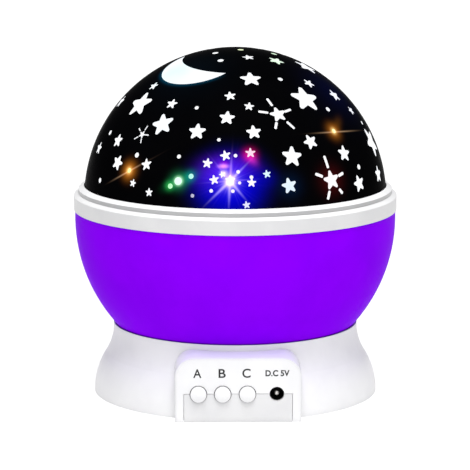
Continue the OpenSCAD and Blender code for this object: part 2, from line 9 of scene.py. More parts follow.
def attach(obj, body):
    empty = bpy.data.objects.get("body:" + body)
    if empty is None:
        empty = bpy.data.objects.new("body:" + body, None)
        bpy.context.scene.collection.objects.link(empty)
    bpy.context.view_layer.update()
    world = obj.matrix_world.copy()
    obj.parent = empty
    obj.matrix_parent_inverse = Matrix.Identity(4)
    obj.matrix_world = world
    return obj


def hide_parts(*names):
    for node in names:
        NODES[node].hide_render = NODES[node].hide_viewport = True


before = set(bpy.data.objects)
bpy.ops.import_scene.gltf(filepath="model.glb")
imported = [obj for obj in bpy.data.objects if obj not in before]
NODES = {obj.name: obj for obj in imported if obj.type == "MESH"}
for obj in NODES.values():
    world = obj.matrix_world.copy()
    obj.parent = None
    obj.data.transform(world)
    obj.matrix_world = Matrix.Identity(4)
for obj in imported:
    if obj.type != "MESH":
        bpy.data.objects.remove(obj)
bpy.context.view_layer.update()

MM = 0.001
SCENE = bpy.context.scene

# ------------------------------------------------------------------ camera
DOME_R = 60.8        # star skin, outer radius, mm
DOME_CZ = 78.15      # height of its centre
MASK_T = 0.45
SEAT_Z = 82.66       # lower edge of the skin

pitch, turn, dist = math.radians(10.28), math.radians(-1.1), 1.173
aim = Vector((-0.0001, 0, 0.063))
back = Vector((math.sin(turn) * math.cos(pitch), -math.cos(turn) * math.cos(pitch), math.sin(pitch)))
cam_data = bpy.data.cameras.new("camera")
cam = bpy.data.objects.new("camera", cam_data)
SCENE.collection.objects.link(cam)
cam.location = aim + back * dist
cam.rotation_euler = (-back).to_track_quat("-Z", "Y").to_euler()
cam_data.sensor_width = 36
cam_data.lens = 2906 / 470 * 36
cam_data.clip_start, cam_data.clip_end = 0.01, 100
SCENE.camera = cam
SCENE.view_settings.view_transform = "Standard"
SCENE.view_settings.look = "None"


# ------------------------------------------------------------------ node helpers
class Graph:
    """Builds one material's node tree with plain calls."""

    def __init__(self, name):
        self.mat = bpy.data.materials.new(name)
        self.mat.use_nodes = True
        self.nt = self.mat.node_tree
        self.nt.nodes.clear()
        self.out = self.nt.nodes.new("ShaderNodeOutputMaterial")
        self.bsdf = self.nt.nodes.new("ShaderNodeBsdfPrincipled")
        self.nt.links.new(self.bsdf.outputs[0], self.out.inputs[0])
        self._obj = None

    def put(self, socket, value):
        if isinstance(value, bpy.types.NodeSocket):
            self.nt.links.new(value, socket)
        else:
            socket.default_value = value

    def set(self, **values):
        for key, value in values.items():
            self.put(self.bsdf.inputs[key.replace("_", " ")], value)
        return self

    def obj(self):
        if self._obj is None:
            self._obj = self.nt.nodes.new("ShaderNodeTexCoord").outputs["Object"]
        return self._obj

    def m(self, op, a, b=0.0, c=0.0, clamp=False):
        n = self.nt.nodes.new("ShaderNodeMath")
        n.operation, n.use_clamp = op, clamp
        self.put(n.inputs[0], a)
        self.put(n.inputs[1], b)
        if len(n.inputs) > 2:
            self.put(n.inputs[2], c)
        return n.outputs[0]

    def v(self, op, a, b=(0, 0, 0), scale=None):
        n = self.nt.nodes.new("ShaderNodeVectorMath")
        n.operation = op
        self.put(n.inputs[0], a)
        if op not in ("LENGTH", "NORMALIZE", "SCALE"):
            self.put(n.inputs[1], b)
        if scale is not None:
            self.put(n.inputs["Scale"], scale)
        return n.outputs["Value"] if op in ("LENGTH", "DOT_PRODUCT", "DISTANCE") else n.outputs["Vector"]

    def noise(self, scale, detail=3.0, rough=0.5, vec=None, distortion=0.0):
        n = self.nt.nodes.new("ShaderNodeTexNoise")
        self.put(n.inputs["Vector"], vec if vec is not None else self.obj())
        n.inputs["Scale"].default_value = scale
        n.inputs["Detail"].default_value = detail
        n.inputs["Roughness"].default_value = rough
        n.inputs["Distortion"].default_value = distortion
        return n.outputs["Fac"]

    def voronoi(self, scale, feature="F1", vec=None):
        n = self.nt.nodes.new("ShaderNodeTexVoronoi")
        n.feature = feature
        self.put(n.inputs["Vector"], vec if vec is not None else self.obj())
        n.inputs["Scale"].default_value = scale
        return n.outputs["Distance"]

    def span(self, value, lo, hi, out_lo=0.0, out_hi=1.0, smooth=False):
        n = self.nt.nodes.new("ShaderNodeMapRange")
        n.interpolation_type = "SMOOTHSTEP" if smooth else "LINEAR"
        n.clamp = True
        for i, x in enumerate((value, lo, hi, out_lo, out_hi)):
            self.put(n.inputs[i], x)
        return n.outputs[0]

    def mix(self, fac, a, b, mode="MIX"):
        n = self.nt.nodes.new("ShaderNodeMix")
        n.data_type, n.blend_type, n.clamp_result = "RGBA", mode, False
        self.put(n.inputs[0], fac)
        self.put(n.inputs[6], a if isinstance(a, bpy.types.NodeSocket) else tuple(a)[:3] + (1,))
        self.put(n.inputs[7], b if isinstance(b, bpy.types.NodeSocket) else tuple(b)[:3] + (1,))
        return n.outputs[2]

    def xyz(self, vec):
        n = self.nt.nodes.new("ShaderNodeSeparateXYZ")
        self.put(n.inputs[0], vec)
        return n.outputs[0], n.outputs[1], n.outputs[2]

    def bump(self, height, strength, distance, normal=None):
        n = self.nt.nodes.new("ShaderNodeBump")
        n.inputs["Strength"].default_value = strength
        n.inputs["Distance"].default_value = distance
        self.put(n.inputs["Height"], height)
        if normal is not None:
            self.put(n.inputs["Normal"], normal)
        return n.outputs[0]

    def crevice(self, distance, samples=8):
        """0 in open places, towards 1 in grooves and seams."""
        n = self.nt.nodes.new("ShaderNodeAmbientOcclusion")
        n.samples = samples
        n.inputs["Distance"].default_value = distance
        return self.m("SUBTRACT", 1.0, n.outputs["AO"])


def srgb(r, g, b):
    def f(c):
        c /= 255
        return c / 12.92 if c <= 0.04045 else ((c + 0.055) / 1.055) ** 2.4
    return (f(r), f(g), f(b))


# ------------------------------------------------------------------ materials
def plastic(name, light, dark, rough=(0.3, 0.42), spec=0.5, grain=2600.0, bump=0.05, seam_shade=0.25, seam_shade_colour=None, reach=0.0012, painted_bands=()):
    """Moulded plastic: cloudy colour, fine spark-eroded grain, uneven gloss, and painted shade darkening the seams and
    crevices, found by ambient occlusion.
    The height bands are painted highlight (share above 1) or painted shade (share below 1), each [lower height, upper
    height, share of the colour], in millimetres."""
    g = Graph(name)
    cloud = g.noise(55.0, 4.0, 0.55)
    fine = g.noise(grain, 2.0, 0.6)
    flow = g.noise(900.0, 3.0, 0.5, vec=g.v("MULTIPLY", g.obj(), (1, 1, 0.25)))
    colour = g.mix(g.span(cloud, 0.35, 0.65, 0, 1, True), dark, light)
    colour = g.mix(g.span(fine, 0.3, 0.7, 0.0, 0.10), colour, dark)
    # painted highlight and painted shade: each height band scales the colour up or down
    for z0, z1, k in painted_bands:
        z = g.m("MULTIPLY", g.xyz(g.obj())[2], 1000.0)
        band = g.m("MULTIPLY", g.span(z, z0 - 0.08, z0 + 0.08), g.span(z, z1 + 0.08, z1 - 0.08))
        colour = g.v("SCALE", colour, scale=g.m("MULTIPLY_ADD", band, k - 1.0, 1.0))
    # painted shade: darkens grooves, seams and crevices by ambient occlusion
    if seam_shade:
        colour = g.mix(g.m("MULTIPLY", g.m("POWER", g.crevice(reach), 1.5), seam_shade, clamp=True), colour,
                       seam_shade_colour or tuple(c * 0.35 for c in dark))
    normal = g.bump(fine, bump, 0.00006)
    normal = g.bump(flow, bump * 0.5, 0.0001, normal)
    g.set(Base_Color=colour, Roughness=g.span(g.m("MULTIPLY_ADD", flow, 0.6, g.m("MULTIPLY", fine, 0.4)), 0.3, 0.7, rough[0], rough[1]),
          Normal=normal)
    g.bsdf.inputs["Specular IOR Level"].default_value = spec
    return g.mat


def metal(name, colour, rough=(0.22, 0.4), brushed=(1, 1, 40), scale=600.0):
    g = Graph(name)
    lines = g.noise(scale, 3.0, 0.6, vec=g.v("MULTIPLY", g.obj(), brushed))
    stain = g.noise(180.0, 4.0, 0.5)
    g.set(Base_Color=g.mix(g.span(stain, 0.35, 0.7), colour, tuple(c * 0.78 for c in colour)),
          Roughness=g.span(lines, 0.3, 0.7, rough[0], rough[1]), Normal=g.bump(lines, 0.08, 0.00004))
    g.bsdf.inputs["Metallic"].default_value = 1.0
    return g.mat


def dome_axes(az, el):
    a, e = math.radians(az), math.radians(el)
    n = Vector((math.sin(a) * math.cos(e), -math.cos(a) * math.cos(e), math.sin(e)))
    down = Vector((math.sin(a) * math.sin(e), -math.cos(a) * math.sin(e), -math.cos(e)))
    right = Vector((math.cos(a), math.sin(a), 0))
    return n, down, right


class Glow:
    """Painted light on the dome: glows, glints and flare streaks set into the surface's emission, worked out in
    millimetres from the dome's centre on the resting object.
    """

    def __init__(self, g):
        self.g = g
        self.p = g.v("SCALE", g.v("SUBTRACT", g.obj(), (0, 0, DOME_CZ * MM)), scale=1000.0)
        self.total = None

    def place(self, az, el):
        n, down, right = dome_axes(az, el)
        off = self.g.v("SUBTRACT", self.p, tuple(n * DOME_R))
        return off, self.g.v("DOT_PRODUCT", off, tuple(right)), self.g.v("DOT_PRODUCT", off, tuple(-down))

    def gauss(self, d, power=2.0):
        """exp(-d**power)"""
        return self.g.m("POWER", math.e, self.g.m("MULTIPLY", self.g.m("POWER", d, power), -1.0))

    def add(self, amount, colour):
        c = self.g.v("SCALE", tuple(colour), scale=amount)
        self.total = c if self.total is None else self.g.v("ADD", self.total, c)

    def spot(self, az, el, r, colour, power=2.0):
        off, _, _ = self.place(az, el)
        f = self.gauss(self.g.m("DIVIDE", self.g.v("LENGTH", off), r), power)
        self.add(f, colour)
        return f

    def oval(self, az, el, ru, rv, tilt, colour, power=2.0):
        g = self.g
        off, u, v = self.place(az, el)
        c, s = math.cos(math.radians(tilt)), math.sin(math.radians(tilt))
        a = g.m("ADD", g.m("MULTIPLY", u, c / ru), g.m("MULTIPLY", v, s / ru))
        b = g.m("ADD", g.m("MULTIPLY", u, -s / rv), g.m("MULTIPLY", v, c / rv))
        d = g.m("SQRT", g.m("ADD", g.m("MULTIPLY", a, a), g.m("MULTIPLY", b, b)))
        f = g.m("MULTIPLY", self.gauss(d, power), self.near(off))
        self.add(f, colour)
        return f

    def near(self, off):
        """Keeps a flat pattern on its own side of the dome."""
        return self.g.m("LESS_THAN", self.g.v("LENGTH", off), 45.0)

    def streak(self, az, el, one, two, width, colour):
        """A thin straight flare through one point. It lies in the plane of its two ends and a far point in front."""
        g = self.g
        eye = Vector(cam.location) / MM - Vector((0, 0, DOME_CZ))
        mid, a, b = (dome_axes(*q)[0] * DOME_R for q in ((az, el), one, two))
        across = (a - eye).cross(b - eye).normalized()
        along = (b - a).normalized()
        off = g.v("SUBTRACT", self.p, tuple(mid))
        side = g.m("DIVIDE", g.m("ABSOLUTE", g.v("DOT_PRODUCT", g.v("SUBTRACT", self.p, tuple(a)), tuple(across))), width)
        t = g.v("DOT_PRODUCT", off, tuple(along))
        back_, ahead = (mid - a).dot(along), (b - mid).dot(along)
        reach = g.m("MAXIMUM", g.m("DIVIDE", t, ahead), g.m("DIVIDE", t, -back_))
        f = g.m("MULTIPLY", self.gauss(side), self.gauss(g.m("MULTIPLY", reach, 1.55), 2.2))
        self.add(g.m("MULTIPLY", f, self.near(off)), colour)

    def burst(self, az, el, arms):
        """Arms from one point, each [angle, length, width, colour], brightest and widest at the foot."""
        g = self.g
        off, u, v = self.place(az, el)
        near = self.near(off)
        for angle, length, width, colour in arms:
            c, s = math.cos(math.radians(angle)), math.sin(math.radians(angle))
            t = g.m("ADD", g.m("MULTIPLY", u, c), g.m("MULTIPLY", v, s))
            d = g.m("ADD", g.m("MULTIPLY", u, -s / width), g.m("MULTIPLY", v, c / width))
            d = g.m("MULTIPLY", g.m("ABSOLUTE", d), g.m("MULTIPLY_ADD", g.m("ABSOLUTE", t), 0.13, 1.0))
            f = g.m("MULTIPLY", self.gauss(d), self.gauss(g.m("DIVIDE", g.m("ABSOLUTE", t), length), 2.0))
            f = g.m("MULTIPLY", g.m("MULTIPLY", f, near), g.m("GREATER_THAN", t, 0.0))
            self.add(f, colour)

    def halo(self, az, el, r, width, colour):
        """A soft fringe along the lower part of a circle."""
        g = self.g
        off, u, v = self.place(az, el)
        f = self.gauss(g.m("DIVIDE", g.m("ABSOLUTE", g.m("SUBTRACT", g.v("LENGTH", off), r)), width))
        self.add(g.m("MULTIPLY", f, g.span(v, -3.0, -10.0, 0, 1, True)), colour)

    def needles(self, az, el, reach, colour):
        """Faint hair-thin rays that fill the space between the arms."""
        g = self.g
        off, u, v = self.place(az, el)
        a = g.m("ARCTAN2", v, u)
        f = g.m("MULTIPLY", g.m("SINE", g.m("MULTIPLY_ADD", a, 17.0, 0.6)), g.m("SINE", g.m("MULTIPLY_ADD", a, 29.0, 1.9)))
        f = g.m("MULTIPLY", g.span(f, 0.1, 0.9), self.gauss(g.m("DIVIDE", g.v("LENGTH", off), reach), 2.0))
        self.add(g.m("MULTIPLY", f, self.near(off)), colour)


def painted_lamp_glow(g, amount=1.0):
    """Painted coloured glows, glints, flare streaks and star bursts on the front of the dome, fixed in its surface."""
    w = Glow(g)
    w.oval(-3.2, 14.3, 12.2, 10.8, 0, (0.0, 0.0, 0.72), 3.2)
    w.oval(-4.2, 21.2, 9.8, 4.6, 0, (0.058, 0.004, 0.24), 2.8)
    w.oval(-7.0, 16.5, 7.5, 5.0, 0, (0.034, 0.008, 0.06), 2.2)
    w.oval(-12.5, 17.0, 5.0, 2.6, 25, (0.010, 0.0, 0.10), 2.2)
    w.oval(10.5, 16.5, 4.0, 3.2, 0, (0.0, 0.0, 0.14), 2.2)
    arm, violet, thin = (0.62, 0.48, 0.75), (0.50, 0.28, 0.60), (0.22, 0.12, 0.42)
    w.burst(-3.04, 15.65, [
        [87, 6.6, 0.80, violet], [46.6, 6.0, 0.74, arm], [-136, 7.4, 0.84, arm], [-92.5, 6.0, 0.80, arm],
        [-49.3, 5.6, 0.74, arm], [-176, 6.6, 0.50, thin], [5, 6.2, 0.46, thin], [128.9, 7.0, 0.62, thin],
        [162, 4.4, 0.40, thin], [-158, 3.4, 0.40, thin], [24, 3.4, 0.40, thin], [-20, 3.4, 0.40, thin],
        [-112, 3.2, 0.40, thin], [67, 3.4, 0.40, thin], [108, 3.4, 0.40, thin], [-70, 3.0, 0.40, thin]])
    w.needles(-3.04, 15.65, 7.5, (0.02, 0.012, 0.12))
    w.spot(-3.04, 15.65, 2.7, (0.34, 0.26, 0.40), 1.8)
    w.spot(-3.04, 15.65, 1.5, (1.1, 1.0, 0.85), 2.0)
    w.spot(-5.5, 18.3, 1.15, (0.9, 0.75, 0.9))
    w.oval(-5.66, 21.0, 1.9, 0.85, 0, (0.85, 0.30, 0.75), 2.6)
    w.oval(-5.4, 22.1, 1.6, 0.8, 0, (0.20, 0.0, 0.05))
    w.spot(4.7, 25.2, 2.5, (0.62, 0.0, 0.10), 2.3)
    w.oval(5.6, 23.4, 2.4, 1.5, -50, (0.28, 0.015, 0.24))
    w.oval(-22.4, 15.2, 6.0, 2.3, 27, (0.0, 0.125, 0.035), 2.6)
    w.spot(-26.38, 13.14, 1.7, (0.02, 0.30, 0.05), 2.2)
    w.spot(-22.86, 15.04, 2.9, (0.015, 0.20, 0.07))
    w.spot(-22.86, 15.04, 1.7, (0.62, 0.95, 0.66), 3.2)
    w.spot(-18.42, 17.05, 1.9, (0.0, 0.16, 0.13))
    for az, el, one, two, k, r in ((-46.17, 16.94, (-55.6, 11.8), (-38.6, 21.0), 1.0, 2.9),
                                   (46.85, 32.02, (33.8, 32.2), (66.0, 30.0), 0.62, 2.8)):
        w.spot(az, el, r, (0.66 * k, 0.20 * k, 0.014 * k))
        w.spot(az, el, 1.35, (0.7, 0.62, 0.22), 2.4)
        w.streak(az, el, one, two, 0.26, (0.40, 0.25, 0.14))
    w.streak(-46.17, 16.94, (-57.0, 11.0), (-31.5, 25.0), 0.22, (0.05, 0.03, 0.02))
    w.oval(51.0, 34.2, 4.2, 1.8, 32, (0.06, 0.02, 0.001))
    w.spot(38, 14, 5.0, (0.045, 0.002, 0.002))
    w.spot(68, 48, 12.0, (0.0, 0.0008, 0.014))
    w.spot(-40, 62, 15.0, (0.0, 0.002, 0.004))
    w.spot(19.5, 13.2, 4.6, (0.0, 0.006, 0.025))
    w.halo(-43, 70, 16.2, 1.1, (0.0, 0.035, 0.07))
    n = g.v("SCALE", w.total, scale=amount)
    return n, w


def black_skin():
    g = Graph("black_skin")
    fine = g.noise(2400.0, 2.0, 0.5)
    cloud = g.noise(70.0, 3.0, 0.5)
    light, _ = painted_lamp_glow(g)
    # the painted glow is faintly mottled by a fine grain
    grainy_painted_glow = g.v("SCALE", light, scale=g.span(fine, 0.3, 0.7, 0.94, 1.06))
    g.set(Base_Color=g.mix(cloud, (0.0006, 0.0006, 0.0008), (0.0014, 0.0014, 0.0018)),
          Roughness=g.span(g.noise(500.0, 3.0), 0.3, 0.7, 0.24, 0.36), Emission_Color=grainy_painted_glow,
          Normal=g.bump(fine, 0.03, 0.00005))
    g.bsdf.inputs["Emission Strength"].default_value = 1.0
    g.bsdf.inputs["Specular IOR Level"].default_value = 0.0006
    return g.mat


def milky_dome():
    g = Graph("milky_dome")
    # painted glow from the dome's front, at a quarter strength, goes on top of the diffuser's own white glow
    light, w = painted_lamp_glow(g, 0.25)
    haze = g.noise(120.0, 3.0, 0.5)
    base = g.mix(g.span(haze, 0.3, 0.7), (0.90, 0.93, 0.97), (0.99, 1.0, 1.0))
    # painted light: coloured patches where the glows and glints fall on the windows
    for az, el, r, painted_tint, k in ((19.7, 12.9, 4.6, (0.62, 0.78, 0.93), 0.8), (5.0, 25.9, 3.0, (0.72, 0.42, 0.52), 0.85),
                               (-17.5, 10.0, 2.0, (0.28, 0.26, 0.45), 0.9), (3.0, 7.0, 3.0, (0.45, 0.5, 0.85), 0.6),
                               (-3.0, 15.6, 11.0, (0.88, 0.74, 1.0), 0.7), (11.0, 18.0, 3.0, (0.55, 0.85, 0.95), 0.7),
                               (-26.4, 13.1, 1.9, (0.30, 0.90, 0.36), 0.95), (-22.9, 15.0, 2.6, (0.55, 1.0, 0.66), 0.85),
                               (-18.4, 17.0, 2.0, (0.28, 0.88, 0.66), 0.95),
                               (38.0, 14.0, 5.0, (1.0, 0.84, 0.87), 0.8), (-58, 62, 9.0, (0.55, 0.98, 1.0), 0.5),
                               (-46.2, 16.9, 1.5, (1.0, 0.86, 0.16), 0.97), (46.8, 32.0, 1.5, (0.98, 0.76, 0.14), 0.97),
                               (50, 70, 4.2, (0.68, 0.98, 0.66), 0.85), (77, 75, 2.6, (0.62, 0.96, 0.55), 0.85),
                               (23, 85, 2.4, (0.85, 1.0, 0.45), 0.85), (10.5, 17.4, 2.4, (0.62, 0.84, 0.94), 0.8),
                               (70, 50, 12.0, (0.78, 0.80, 1.0), 0.7), (-36.6, 36.5, 5.0, (0.86, 0.95, 0.98), 0.6)):
        off, _, _ = w.place(az, el)
        f = w.gauss(g.m("DIVIDE", g.v("LENGTH", off), r))
        base = g.mix(g.m("MULTIPLY", f, k), base, painted_tint)
    g.set(Base_Color=(0.06, 0.06, 0.065, 1), Roughness=g.span(haze, 0.3, 0.7, 0.35, 0.5), Emission_Color=g.v("ADD", base, light),
          Normal=g.bump(g.noise(1500.0, 2.0), 0.03, 0.00005))
    g.bsdf.inputs["Emission Strength"].default_value = 1.0
    return g.mat


def board(name, base, trace, scale=420.0):
    """Solder mask over copper: rounded traces, vias and silk-screen speckle."""
    g = Graph(name)
    cells = g.voronoi(scale, "DISTANCE_TO_EDGE")
    via = g.voronoi(scale * 0.8, "F1")
    colour = g.mix(g.span(cells, 0.03, 0.06), trace, base)
    colour = g.mix(g.span(via, 0.10, 0.14), (0.55, 0.52, 0.42), colour)
    g.set(Base_Color=colour, Roughness=g.span(g.noise(900.0), 0.3, 0.7, 0.25, 0.4), Normal=g.bump(cells, 0.15, 0.00008))
    return g.mat


def cell_wrap():
    """Printed sleeve with plain bands, bare metal at both ends."""
    g = Graph("cell_wrap")
    x, y, z = g.xyz(g.obj())
    ax = g.m("ABSOLUTE", x)
    lines = g.noise(700.0, 2.0, 0.5, vec=g.v("MULTIPLY", g.obj(), (0.2, 1, 1)))
    sleeve = g.mix(g.span(ax, 0.0118, 0.0120), (0.10, 0.30, 0.16), (0.03, 0.035, 0.04))
    sleeve = g.mix(g.m("MULTIPLY", g.span(ax, 0.0108, 0.0110), g.span(ax, 0.0118, 0.0116)), sleeve, (0.6, 0.5, 0.15))
    bare = g.span(ax, 0.0199, 0.0201)
    g.set(Base_Color=g.mix(bare, sleeve, (0.62, 0.62, 0.64)), Metallic=bare,
          Roughness=g.span(lines, 0.3, 0.7, 0.25, 0.4), Normal=g.bump(lines, 0.05, 0.00005))
    return g.mat


def ribbon():
    g = Graph("lead_grey")
    x, y, z = g.xyz(g.obj())
    wires = g.m("ABSOLUTE", g.m("SINE", g.m("MULTIPLY", g.m("ADD", x, y), 5200.0)))
    g.set(Base_Color=g.mix(g.span(wires, 0.1, 0.6), (0.30, 0.31, 0.34), (0.62, 0.63, 0.66)),
          Roughness=g.span(g.noise(800.0), 0.3, 0.7, 0.4, 0.55), Normal=g.bump(wires, 0.4, 0.00015))
    return g.mat


def led(name, body, light, strength):
    """Clear epoxy lens over a lit chip."""
    g = Graph(name)
    x, y, z = g.xyz(g.obj())
    up = g.span(z, 0.0692, 0.0755)
    g.set(Base_Color=g.mix(up, tuple(c * 0.6 for c in body), body), Roughness=g.span(g.noise(700.0), 0.3, 0.7, 0.06, 0.14),
          Emission_Color=g.mix(g.span(g.noise(300.0), 0.3, 0.7), tuple(c * 0.8 for c in light), light),
          Normal=g.bump(g.noise(1200.0), 0.02, 0.00004))
    g.bsdf.inputs["Emission Strength"].default_value = strength
    return g.mat


def leads(name):
    """Red lead on the left, black on the right of each pair."""
    g = Graph(name)
    x, y, z = g.xyz(g.obj())
    left = g.m("ADD", g.m("MULTIPLY", g.m("LESS_THAN", x, -0.0194), 1.0),
               g.m("MULTIPLY", g.m("GREATER_THAN", x, -0.010), g.m("LESS_THAN", x, -0.006)), clamp=True)
    g.set(Base_Color=g.mix(left, (0.02, 0.02, 0.022), (0.45, 0.02, 0.02)), Roughness=g.span(g.noise(1200.0), 0.3, 0.7, 0.35, 0.5),
          Normal=g.bump(g.noise(2500.0), 0.05, 0.00005))
    return g.mat


# The seam strength and colour given to each plastic below paint shade into its grooves and joints (painted shade).
M = {
    "white_shell": plastic("white_shell", (0.83, 0.83, 0.835), (0.79, 0.79, 0.80), (0.30, 0.42), 0.4, seam_shade=0.5, reach=0.0025),
    # white_cover is a darker copy of the white plastic: painted shade that makes the panel's tab read greyer than the
    # panel.
    "white_cover": plastic("white_cover", (0.72, 0.72, 0.725), (0.68, 0.68, 0.69), (0.30, 0.42), 0.3, seam_shade=0.7, reach=0.0025),
    # white_ring is darker than the shell's white: painted shade for the ring walls. Its three height bands paint
    # highlight on the two bevels and shade on the band between them.
    "white_ring": plastic("white_ring", (0.69, 0.69, 0.695), (0.65, 0.65, 0.66), (0.28, 0.38), 0.3, seam_shade=0.4, reach=0.0008,
                          painted_bands=([79.9, 81.2, 1.20], [81.2, 82.7, 0.65], [82.7, 84.2, 1.28])),
    "button_white": plastic("button_white", (0.83, 0.83, 0.835), (0.80, 0.80, 0.81), (0.24, 0.34), 0.4, seam_shade=0.25, reach=0.0015),
    "purple_gloss": plastic("purple_gloss", (0.245, 0.0, 0.92), (0.225, 0.0, 0.88), (0.34, 0.46), 0.002, bump=0.03, seam_shade=0.8,
                            seam_shade_colour=(0.035, 0.0, 0.16), reach=0.0007),
    "black_skin": black_skin(),
    "milky_dome": milky_dome(),
    "inner_plastic": plastic("inner_plastic", (0.70, 0.70, 0.72), (0.62, 0.62, 0.65), (0.38, 0.52)),
    "gear_plastic": plastic("gear_plastic", (0.80, 0.78, 0.70), (0.72, 0.70, 0.61), (0.34, 0.46)),
    "black_plastic": plastic("black_plastic", (0.012, 0.012, 0.013), (0.007, 0.007, 0.008), (0.28, 0.4), 0.12, seam_shade=0),
    "board_green": board("board_green", (0.012, 0.12, 0.045), (0.03, 0.22, 0.08)),
    "board_white": board("board_white", (0.78, 0.78, 0.76), (0.68, 0.68, 0.64)),
    "plated_metal": metal("plated_metal", (0.72, 0.70, 0.66)),
    "motor_metal": metal("motor_metal", (0.56, 0.56, 0.58), (0.28, 0.45), (40, 40, 1)),
    "screw_steel": metal("screw_steel", (0.50, 0.50, 0.52), (0.2, 0.35), (1, 1, 1), 1500.0),
    "led_warm": led("led_warm", (0.9, 0.8, 0.5), (1.0, 0.72, 0.35), 1.2),
    "led_blue": led("led_blue", (0.25, 0.35, 0.9), (0.06, 0.12, 1.0), 1.2),
    "led_green": led("led_green", (0.3, 0.9, 0.4), (0.08, 1.0, 0.2), 1.2),
    "led_red": led("led_red", (0.9, 0.25, 0.2), (1.0, 0.06, 0.05), 1.2),
    "lead_grey": ribbon(),
    "lead_red": leads("lead_red"),
    "cell_wrap": cell_wrap(),
}

NODE_LOOK = {
    "base_housing": "white_shell", "base_cover": "white_cover", "battery_door": "white_cover",
    "rim_ring": "white_ring", "dome_ring": "white_ring",
    "button_a": "button_white", "button_b": "button_white", "button_c": "button_white",
    "bowl": "purple_gloss", "star_mask": "black_skin", "dome_diffuser": "milky_dome",
    "chassis_plate": "inner_plastic", "led_pillar": "inner_plastic",
    "drive_gear": "gear_plastic", "motor_pinion": "gear_plastic",
    "switch_plunger_a": "gear_plastic", "switch_plunger_b": "gear_plastic", "switch_plunger_c": "gear_plastic",
    "dc_jack": "black_plastic", "switch_bodies": "black_plastic", "board_components": "black_plastic",
    "control_board": "board_green", "led_board": "board_white",
    "dc_jack_pin": "plated_metal", "battery_contacts": "plated_metal", "battery_springs": "plated_metal",
    "gear_motor": "motor_metal", "motor_shaft": "motor_metal", "thrust_washer": "motor_metal",
    "housing_screws": "screw_steel", "chassis_screws": "screw_steel", "motor_screws": "screw_steel",
    "door_screws": "screw_steel", "gear_screws": "screw_steel", "led_board_screws": "screw_steel",
    "led_warm": "led_warm", "led_blue": "led_blue", "led_green": "led_green", "led_red": "led_red",
    "led_ribbon": "lead_grey", "motor_leads": "lead_red", "battery_leads": "lead_red",
    "aaa_cells": "cell_wrap",
}
for name, o in NODES.items():
    o.data.materials.clear()
    o.data.materials.append(M[NODE_LOOK[name]])


# ------------------------------------------------------------------ star skin
# same windows as the CAD skin: [turn, height angle, size, roll]
FRONT_STARS = [
    [10, 59, 4.3, -2], [40, 47, 6.3, -12], [-58, 43, 6, 12], [-36, 36, 4.8, 20], [22, 24, 4.2, -8],
    [-18, 34, 3.5, 2], [19.4, 13.4, 3.1, 10], [-5, 40, 3.1, -4], [76, 24, 6.2, 18], [32, 29, 3.1, 18],
    [48, 23, 3.3, -10], [7, 34, 3, 4], [53, 11, 3.4, 12], [-54, 19, 3.1, -16], [-59, 27, 2.8, 8],
    [71, 12, 3.4, -6], [50, 70, 3.2, 10], [-36, 45, 2.4, 0], [-38, 20, 2.4, 14], [67, 46, 3, -8],
    [-4, 50, 2.3, 10], [-12, 22, 2, -6], [-9, 16, 1.9, 12], [5, 26, 2, 0], [-5, 25, 2.1, 16],
    [6, 45, 2, -10], [-34.8, 10, 1.7, 6], [53, 54, 2.5, 14], [5, 15, 1.8, -4], [18, 75, 2.4, 0],
    [80, 62, 5, 10], [11, 18, 1.6, 8], [-60, 52, 2.2, 12], [-74, 22, 2.6, 0], [3, 7, 1.5, 10],
    [-43, 12.6, 1.6, -8], [72, 38, 2, 6], [-84, 41, 3, 10], [-3, 16, 2, 0], [-6, 18, 1.3, 20]]
RAY_STARS = [
    [20, 41, 3.4, 8, [[-17, 4.3, 8.3], [-74, 3.9, 7.8], [70, 3.2, 6.4], [-157, 3.7, 6.8], [141, 4.4, 8.4]]],
    [38, 14, 3.9, 6, [[-7, 4.8, 9.8], [72, 4, 7.1], [-66, 4.3, 7.9], [139, 5, 7.5], [-158, 4.3, 7.8]]],
    [-45, 31, 1.6, -18, [[-52, 2.2, 3.9], [14, 1.9, 4], [88, 1.6, 3.5], [165, 1.7, 3.7], [-124, 1.9, 4.1]]]]
FRONT_DOTS = [
    [-19, 72, 1.2], [32, 58, 1], [55, 17, 1], [-24, 24, 0.8], [5, 17, 0.7], [-44, 79, 1.2], [-21, 44, 0.8],
    [51, 41, 1], [-69, 29, 1], [-8, 31, 0.7], [-1, 25, 0.7], [-64, 11, 1], [-10, 12, 0.7], [-2, 12, 0.7],
    [-17, 10, 0.7], [0, 19, 0.7], [0.5, 15, 0.6], [76, 32, 0.8], [23, 85, 1.2], [77, 75, 1.2], [-44, 23, 1],
    [-46, 17, 0.9], [47, 32, 0.9], [-26, 13, 1], [-18, 17, 1], [-23, 15, 1.5]]
BACK_COUNT = 8


def star_outline(r, roll, tip=8):
    out = []
    for i in range(5):
        a = 180 + roll + 72 * i
        for rr, b in ((0.93 * r, a - tip), (r, a), (0.93 * r, a + tip), ((0.47 if r < 2.7 else 0.52) * r, a + 36)):
            out.append((rr * math.cos(math.radians(b)), rr * math.sin(math.radians(b))))
    return out


def ray_outline(turn_, r0, r1, w):
    n = r1 - r0
    b = math.radians(180 - turn_)
    pts = [(0, -0.3 * w), (0.3 * w, -0.5 * w), (n - 0.3 * w, -0.5 * w), (n, -0.3 * w), (n, 0.3 * w),
           (n - 0.3 * w, 0.5 * w), (0.3 * w, 0.5 * w), (0, 0.3 * w)]
    return [((x + r0) * math.cos(b) - y * math.sin(b), (x + r0) * math.sin(b) + y * math.cos(b)) for x, y in pts]


def round_outline(r, n=24):
    return [(r * math.cos(2 * math.pi * i / n), r * math.sin(2 * math.pi * i / n)) for i in range(n)]


